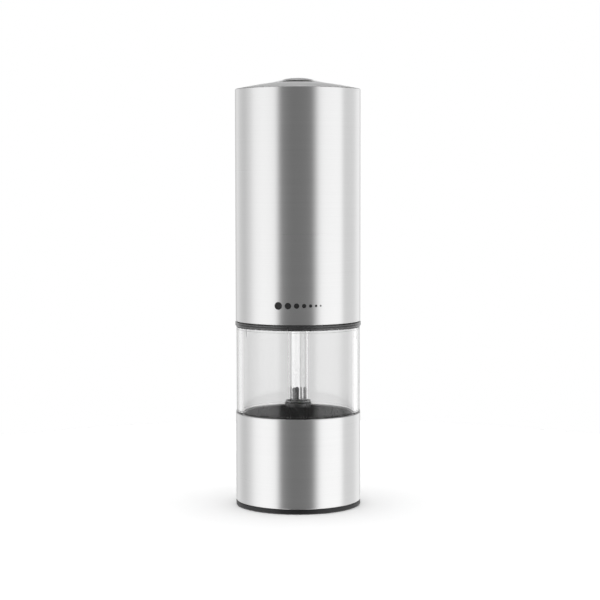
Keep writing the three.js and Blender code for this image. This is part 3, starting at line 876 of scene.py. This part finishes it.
def feed_hub():
    """Feed hub: a capped boss with upright fins, and a three-bladed screw below that feeds the grinder."""
    hub = Extent("feed_hub")
    cap_r = 6.8
    core_r = 4.8
    cap_foot = hub.top - 2.6
    profile = rounded([
        (0, hub.bottom), (core_r, hub.bottom, 0.3), (core_r, cap_foot, 0.3), (cap_r, cap_foot, 0.25),
        (cap_r, hub.top, 0.45), (0, hub.top),
    ], closed=False, steps=6)
    piece = turned("fine_feed_hub", profile, CLOSE)
    bm = bmesh.new()
    fin_foot = hub.bottom + 13.4
    fin_height = cap_foot + 0.2 - fin_foot
    for angle in around(8):
        add_block(bm, (2.6, 1.1, fin_height), (5.2, 0, fin_foot + fin_height / 2), 0.2, turn_z(angle))
    for angle in around(3):
        merge(bm, blade(hub.bottom + 1), turn_z(angle))
    combine(piece, to_object("fins", bm), "UNION")
    combine(piece, rod_square(hub.bottom - 1, hub.top + 1, HOLE_GROWTH), "DIFFERENCE")
    stand_for("feed_hub", even_shading(piece))


def spring_washer():
    washer = Extent("spring_washer")
    piece = turned("fine_spring_washer", rounded([
        (0, washer.bottom), (washer.r, washer.bottom), (washer.r, washer.top), (0, washer.top),
    ], 0.2, closed=False), MEDIUM)
    combine(piece, rod_square(washer.bottom - 1, washer.top + 1, HOLE_GROWTH), "DIFFERENCE")
    stand_for("spring_washer", even_shading(piece))


def grinder_spring():
    spring = Extent("grinder_spring")
    stand_for("grinder_spring", coil("fine_grinder_spring", 4.7, 4.7, 0.4, spring.bottom, spring.top, 4.2))


def grind_knob():
    """Twelve-lobed knob that sets how fine the mill grinds, with a stepped underside."""
    knob = Extent("grind_knob")
    body_top = knob.bottom + 4
    profile = rounded([
        (2.2, knob.bottom + 0.8, 0.2), (5.2, knob.bottom + 0.8, 0.3), (5.6, knob.bottom, 0.3),
        (9, knob.bottom, 0.6), (9, body_top, 0.5), (4.6, body_top, 0.4), (4.6, knob.top, 0.2),
        (2.2, knob.top, 0.2),
    ], steps=5)

    def radius_at(r, z, angle):
        return r - 0.5 * (1 - math.cos(12 * angle)) if r > 7.5 else r

    stand_for("grind_knob", turned("fine_grind_knob", profile, FINE, radius_at))


# ---- Head ----

def lock_collar():
    """Glossy black collar in two rounded steps, with an upstand inside the casing."""
    collar = Extent("lock_collar")
    low = collar.bottom
    rim = collar.r
    top = Extent("upper_casing").bottom - 0.1
    profile = rounded([
        (29.95, low, 0.1), (rim - 0.35, low, 0.15), (rim - 0.35, low + 0.45, 0.1), (rim, low + 0.65, 0.2),
        (rim, low + 1.15, 0.3), (rim - 0.22, low + 1.35, 0.1), (rim - 0.22, low + 1.5, 0.1),
        (rim, low + 1.7, 0.3), (rim, top - 0.25, 0.3), (30.7, top, 0.15), (30.7, collar.top, 0.2),
        (29.95, collar.top, 0.2),
    ], steps=6)
    stand_for("lock_collar", turned("fine_lock_collar", profile, FINEST))


def head_bulkhead():
    dish = Extent("head_bulkhead")
    flange_foot = dish.top - 1.8
    floor = dish.bottom + 1.6
    boss_top = dish.top - 0.8
    profile = rounded([
        (7.4, dish.bottom), (27.9, dish.bottom, 0.8), (27.9, flange_foot, 0.3), (dish.r, flange_foot),
        (dish.r, dish.top), (26.6, dish.top), (26.6, floor, 0.6), (9, floor, 0.6), (9, boss_top),
        (7.4, boss_top),
    ], 0.2)
    stand_for("head_bulkhead", turned("fine_head_bulkhead", profile))


def output_carrier():
    """Carrier with the drive socket, whose corners are widened into lobes so that the head can turn."""
    carrier = Extent("output_carrier")
    play = math.radians(25)
    side = ROD_SIDE / 2 + HOLE_GROWTH
    quarter = math.pi / 2

    def square_r(angle):
        return side / math.cos(angle - quarter * round(angle / quarter))

    def lobed_r(angle):
        return max(square_r(angle - ROD_TURN + play * i / 20) for i in range(21))

    planet = Extent("lower_planet_1")
    pin_orbit = planet.centre.x
    pin_r = 1.21  # a little under the CAD's pin, to clear the planets' faceted bores
    disc_top = planet.bottom - 0.4
    disc_foot = disc_top - 2
    piece = turned("fine_output_carrier", rounded([
        (0, carrier.bottom), (5, carrier.bottom, 0.3), (5, disc_foot, 0.3), (carrier.r, disc_foot, 0.3),
        (carrier.r, disc_top, 0.3), (0, disc_top),
    ], closed=False), MEDIUM)
    bm = bmesh.new()
    for angle in around(3):
        centre = (pin_orbit * math.cos(angle), pin_orbit * math.sin(angle))
        add_prism(bm, circle(pin_r, SMALL, centre), disc_top - 0.3, carrier.top, 0.2)
    combine(piece, to_object("pins", bm), "UNION")
    bm = bmesh.new()
    outline = [(lobed_r(a) * math.cos(a), lobed_r(a) * math.sin(a)) for a in around(144)]
    add_prism(bm, outline, carrier.bottom - 1, disc_foot - 0.1)
    combine(piece, to_object("socket", bm), "DIFFERENCE")
    stand_for("output_carrier", even_shading(piece))


def motor_housing():
    """Ribbed black drum round the motor and gearbox."""
    drum = Extent("motor_housing")
    groove = 0.35
    grooved_r = drum.r - 0.01  # sets the grooved stretch apart from the plain ends
    profile = rounded([
        (27.6, drum.bottom), (drum.r, drum.bottom, 0.3), (drum.r, drum.bottom + 3, 0),
        (grooved_r, drum.bottom + 3.4, 0), (grooved_r, drum.top - 3.4, 0), (drum.r, drum.top - 3, 0),
        (drum.r, drum.top, 0.6), (4, drum.top, 0.3), (4, drum.top - 1.5), (27.6, drum.top - 1.5, 0.4),
    ])

    def radius_at(r, z, angle):
        if drum.r - 0.02 < r < drum.r - 0.005:
            return r - groove * (0.5 - 0.5 * math.cos(24 * angle)) ** 4
        return r

    stand_for("motor_housing", turned("fine_motor_housing", profile, 240, radius_at))


def battery_tray():
    """Two discs on a core with four webs, and a cell in each quarter."""
    tray = Extent("battery_tray")
    floor = tray.bottom + 1.5
    roof = tray.top - 1.2
    piece = turned("fine_battery_tray", rounded([
        (0, tray.bottom), (tray.r, tray.bottom), (tray.r, floor), (2.4, floor, 0.5), (2.4, roof, 0.5),
        (tray.r, roof), (tray.r, tray.top), (0, tray.top),
    ], 0.3, closed=False))
    strip_room = 0.8
    height = roof - floor - 2 * strip_room
    bm = bmesh.new()
    for angle in (0, math.pi / 2):
        add_block(bm, (36, 1.2, height), (0, 0, (floor + roof) / 2), 0.3, turn_z(angle))
    combine(piece, to_object("webs", bm), "UNION", crossing=True)
    stand_for("battery_tray", even_shading(piece))


def battery_cell(index):
    """AA cell: a foil wrap with a copper-coloured band, rolled over at both steel ends."""
    node = f"battery_cell_{index}"
    cell = Extent(node)
    radius = (cell.high.x - cell.low.x) / 2
    length = 50
    cap_r = 6.25  # the bare steel at either end
    band_from = 35.55  # up to the positive end
    pip = 2.7
    points_up = index % 2 == 1
    profile = [
        (0, 0), (4.6, 0), (4.9, 0.25), (6.2, 0.25), (6.5, 0.05), (6.9, 0.05), (radius - 0.12, 0.25),
        (radius, 0.6), (radius, 35.5), (radius, 35.6), (radius, 48.1), (radius - 0.15, 48.55), (6.6, 48.8),
        (6.3, 48.8), (6.1, 48.55), (3.2, 48.5), (pip, 48.8), (pip, 49.75), (pip - 0.3, length), (0, length),
    ]
    bm = bmesh.new()
    add_turned(bm, profile, MEDIUM)
    if not points_up:
        bmesh.ops.rotate(bm, verts=bm.verts, cent=(0, 0, length / 2), matrix=Matrix.Rotation(math.pi, 3, "X"))
    bmesh.ops.translate(bm, verts=bm.verts, vec=(cell.centre.x, cell.centre.y, cell.bottom))
    piece = stand_for(node, to_object(f"fine_{node}", bm))
    piece.data.materials.append(CELL_BAND.material)
    piece.data.materials.append(FINISHES["spring_steel"].material)
    for face in piece.data.polygons:
        z = face.center.z / MM - cell.bottom
        along = z if points_up else length - z
        outward = math.hypot(face.center.x / MM - cell.centre.x, face.center.y / MM - cell.centre.y)
        if outward < cap_r:
            face.material_index = 2
        elif along > band_from:
            face.material_index = 1


def battery_spring(index):
    node = f"battery_spring_{index}"
    spring = Extent(node)
    stands = spring.centre.z < Extent("battery_tray").centre.z
    wide, narrow = 4.6, 2.6
    ends = (wide, narrow) if stands else (narrow, wide)
    cell = Extent(f"battery_cell_{index}")
    place = (cell.centre.x, cell.centre.y)
    stand_for(node, coil(f"fine_{node}", *ends, 0.22, spring.bottom, spring.top, 2.5, 0.3, place))


def switch():
    case = Extent("switch_body")
    size = case.high - case.low
    bm = bmesh.new()
    add_block(bm, size, case.centre, 0.3)
    piece = to_object("fine_switch_body", bm)
    bm = bmesh.new()
    add_block(bm, (3.6, 3.6, 3), (0, 0, case.top), 0)
    stand_for("switch_body", even_shading(combine(piece, to_object("well", bm), "DIFFERENCE")))
    plain_block("switch_plunger", 0.35)


# ---- Casing and button ----

def dome_cap():
    """Low satin dome whose middle drops into the button's cup, with a skirt inside the casing."""
    cap = Extent("dome_cap")
    rim = cap.r
    bevel_r = 13.9
    top = cap.top
    casing_top = Extent("upper_casing").top
    rim_z = casing_top + 0.15
    cup = Extent("button_bezel").bottom - 0.2
    crown = []
    steps = 24
    for i in range(steps + 1):
        t = i / steps
        r = rim - 0.1 - (rim - 0.1 - bevel_r) * t
        crown.append((r, rim_z + 0.1 + (top - rim_z - 0.1) * (t + 0.06 * math.sin(math.pi * t)), 0))
    profile = rounded([
        (rim, rim_z, 0.05), *crown, (bevel_r, cup, 0.2), (2.7, cup, 0.1), (2.7, cup - 0.8, 0.1),
        (22, casing_top + 0.4, 1), (29.5, casing_top - 1.2, 1), (29.5, cap.bottom, 0.3),
        (30.6, cap.bottom, 0.3), (30.6, rim_z, 0.05),
    ], steps=5)
    stand_for("dome_cap", turned("fine_dome_cap", profile, FINEST))


def button_bezel():
    """Polished ring round the button, sloping out and rounded over at its lip."""
    bezel = Extent("button_bezel")
    inner = 9.6
    foot = bezel.bottom
    profile = rounded([
        (bezel.r, foot, 0.1), (bezel.r, Extent("dome_cap").top, 0.05), (10, bezel.top - 0.05, 0.1),
        (inner, bezel.top - 0.2, 0.1), (inner, foot, 0.1),
    ], steps=8)
    stand_for("button_bezel", turned("fine_button_bezel", profile))


def push_button():
    """Satin button with a shallow crown, and a stem with a groove for its clip."""
    button = Extent("push_button")
    rim = button.r
    stem = 2.2
    groove_r = 1.6
    skirt_foot = button.top - 3.2
    ceiling = button.top - 2.2
    groove_foot = button.bottom + 0.5
    groove_top = button.bottom + 1
    crown_r = rim - 0.4
    crown_drop = 1.4
    crown = []
    for i in range(13):
        r = crown_r * i / 12
        crown.append((r, button.top - crown_drop * (r / crown_r) ** 3, 0))
    profile = rounded([
        *crown, (rim, button.top - 2, 0.3), (rim, skirt_foot, 0.2), (8.5, skirt_foot, 0.2), (8.5, ceiling, 0.2),
        (stem, ceiling, 0.2), (stem, groove_top, 0.1), (groove_r, groove_top, 0.1),
        (groove_r, groove_foot, 0.1), (stem, groove_foot, 0.1), (stem, button.bottom, 0.4), (0, button.bottom),
    ], steps=5, closed=False)
    stand_for("push_button", turned("fine_push_button", profile, CLOSE))


def button_spring():
    """The button's return spring, which shortens by the button's travel."""
    spring = Extent("button_spring")
    piece = coil("fine_button_spring", 3.4, 3.4, 0.25, spring.bottom, spring.top, 3.6, 0.6)
    stand_for("button_spring", piece)
    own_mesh(piece)


def button_clip():
    """Spring clip with an open side, pressed into the stem's groove."""
    clip = Extent("button_clip")
    outline = []
    opening = math.radians(32)
    inner_r = 1.75
    steps = 40
    for i in range(steps + 1):
        angle = opening + (2 * math.pi - 2 * opening) * i / steps
        outline.append((clip.r * math.cos(angle), clip.r * math.sin(angle)))
    for i in range(steps + 1):
        angle = 2 * math.pi - opening - (2 * math.pi - 2 * opening) * i / steps
        outline.append((inner_r * math.cos(angle), inner_r * math.sin(angle)))
    bm = bmesh.new()
    add_prism(bm, outline, clip.bottom, clip.top, 0.08)
    stand_for("button_clip", even_shading(to_object("fine_button_clip", bm)))


def casing_mark():
    """A printed row of dots on the casing's front, from whole corns on the left to ground pepper."""
    casing = Extent("upper_casing")
    centre_z = casing.bottom + 9.6
    skin = casing.r + 0.02
    thickness = 0.02
    radii = [1.9, 1.6, 1.3, 1.05, 0.8, 0.6, 0.42]
    gap = 1.35
    sides = 40
    width = 2 * sum(radii) + gap * (len(radii) - 1)
    start = -width / 2
    bm = bmesh.new()
    for radius in radii:
        centre = start + radius
        layers = []
        for depth in (0, thickness):
            ring = []
            for angle in around(sides):
                across = (centre + radius * math.cos(angle)) / casing.r
                r = skin + depth
                z = centre_z + radius * math.sin(angle)
                ring.append(bm.verts.new((r * math.sin(across), -r * math.cos(across), z)))
            layers.append(ring)
        for k in range(sides):
            j = (k + 1) % sides
            bm.faces.new((layers[0][k], layers[0][j], layers[1][j], layers[1][k]))
        bm.faces.new(layers[0])
        bm.faces.new(layers[1])
        start += 2 * radius + gap
    piece = to_object("casing_mark", bm, 60)
    piece.data.materials.append(FINISHES["matt_black"].material)
    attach(piece, "casing")


# ---- CAD nodes whose shape is kept ----

def dress_kept_nodes():
    for name, node in frame["nodes"].items():
        if not node.hide_render:
            node.data.materials.clear()
            node.data.materials.append(FINISHES[SLOT_OF[name]].material)


# ---- Stage ----

def make_floor():
    mesh = bpy.data.meshes.new("floor")
    edge = [(x, y, 0) for x, y in circle(FLOOR_R, FINE)]
    mesh.from_pydata(edge, [], [range(FINE)])
    floor = bpy.data.objects.new("floor", mesh)
    floor.location.z = -FLOOR_DROP
    floor.visible_glossy = False
    material = bpy.data.materials.new("floor")
    material.use_nodes = True
    shader = material.node_tree.nodes["Principled BSDF"]
    shader.inputs["Base Color"].default_value = (0.9, 0.9, 0.9, 1)
    shader.inputs["Roughness"].default_value = 0.9
    shader.inputs["Specular IOR Level"].default_value = 0.0
    mesh.materials.append(material)
    bpy.context.scene.collection.objects.link(floor)


def make_world():
    """A white studio: bright panels to the sides and behind, a dark gap in front, a softbox overhead."""
    world = bpy.data.worlds.new("studio")
    world.use_nodes = True
    bpy.context.scene.world = world
    tree = world.node_tree
    nodes = tree.nodes
    links = tree.links
    background = nodes["Background"]

    def calculate(operation, first, second=0.0):
        return math_node(tree, operation, first, second)

    def ramp(fac, stops):
        node = nodes.new("ShaderNodeValToRGB")
        elements = node.color_ramp.elements
        while len(elements) > 1:
            elements.remove(elements[-1])
        elements[0].position = stops[0][0]
        elements[0].color = (stops[0][1],) * 3 + (1,)
        for position, value in stops[1:]:
            elements.new(position).color = (value,) * 3 + (1,)
        links.new(fac, node.inputs["Fac"])
        return node.outputs["Color"]

    direction = nodes.new("ShaderNodeTexCoord").outputs["Generated"]
    split = nodes.new("ShaderNodeSeparateXYZ")
    links.new(direction, split.inputs["Vector"])
    x, y, z = (split.outputs[axis] for axis in "XYZ")
    azimuth = calculate("ARCTAN2", x, calculate("MULTIPLY", y, -1.0))
    round_share = calculate("ADD", calculate("DIVIDE", azimuth, 2 * math.pi), 0.5)
    # brightness by angle from the front, in degrees: negative is to the left
    panels = [
        (-180, 0.77), (-175, 0.74), (-168, 0.6), (-160, 0.68), (-152, 0.95), (-146, 0.95), (-130, 0.78),
        (-115, 0.71), (-99, 0.93), (-86, 1.25), (-69, 1.35), (-52, 1.33), (-41, 1.25), (-32, 0.27), (-12, 0.19),
        (8, 0.2), (27, 0.24), (41, 1.3), (50, 1.36), (86, 1.38), (94, 0.88), (122, 0.88), (140, 1.08),
        (155, 1.1), (162, 0.72), (169, 0.62), (175, 0.75), (180, 0.77),
    ]
    wall = ramp(round_share, [(0.5 + degrees / 360, value / BRIGHTEST) for degrees, value in panels])
    elevation = calculate("DIVIDE", calculate("ARCSINE", z), math.pi)
    height_share = calculate("ADD", elevation, 0.5)
    # the share of it that shows, by angle above the horizon
    shares = [
        (-90, 1.35), (-30, 1.25), (-14, 1.0), (0, 1.0), (14, 1.0), (18, 0.87), (23, 0.2), (28, 0.1), (50, 0.08),
    ]
    fade = ramp(height_share, [(0.5 + degrees / 180, value / LOW_BRIGHTEST) for degrees, value in shares])
    top = ramp(height_share, [(0.5 + degrees / 180, value) for degrees, value in ((56, 0.0), (64, 1.0))])
    level = calculate("MULTIPLY", calculate("MULTIPLY", wall, fade), BRIGHTEST * LOW_BRIGHTEST)
    rays = nodes.new("ShaderNodeLightPath").outputs
    # metal mirrors a dimmer softbox than the one that lights the floor, so that tops keep their shading
    shown = calculate("SUBTRACT", 1.0, calculate("MULTIPLY", rays["Is Glossy Ray"], TOP_DIMMING))
    level = calculate("ADD", level, calculate("MULTIPLY", calculate("MULTIPLY", top, TOP_LIGHT), shown))
    seen = rays["Is Camera Ray"]
    level = calculate("ADD", calculate("MULTIPLY", level, calculate("SUBTRACT", 1.0, seen)), seen)
    links.new(level, background.inputs["Strength"])
    background.inputs["Color"].default_value = (1, 1, 1, 1)
    bpy.context.scene.view_settings.view_transform = "Standard"


# ---- Assembly ----

foot_ring()
steel_skin("lower_band")
burr_housing()
for i in (1, 2, 3):
    base_screw(i)
burr_ring()
burr_cone()
bearing_spider()
hopper()
pepper_chamber()

drive_rod()
rod_sleeve()
sleeve_clip()
feed_hub()
spring_washer()
grinder_spring()
grind_knob()

lock_collar()
plain_tube("chamber_seal", 28.5, 0.3, 6)
head_bulkhead()
plain_tube("output_bush", 5.3, 0.25, sides=MEDIUM)
output_carrier()
motor_housing()
battery_tray()
for i in (1, 2, 3, 4):
    battery_cell(i)
    battery_spring(i)
for strip in ("lower_contact_right", "lower_contact_left", "upper_contact"):
    plain_block(strip, 0.12)
switch()

steel_skin("upper_casing")
plain_tube("casing_liner", 29.8, 0.25)
dome_cap()
button_bezel()
push_button()
button_spring()
button_clip()
casing_mark()

dress_kept_nodes()
make_floor()
make_world()
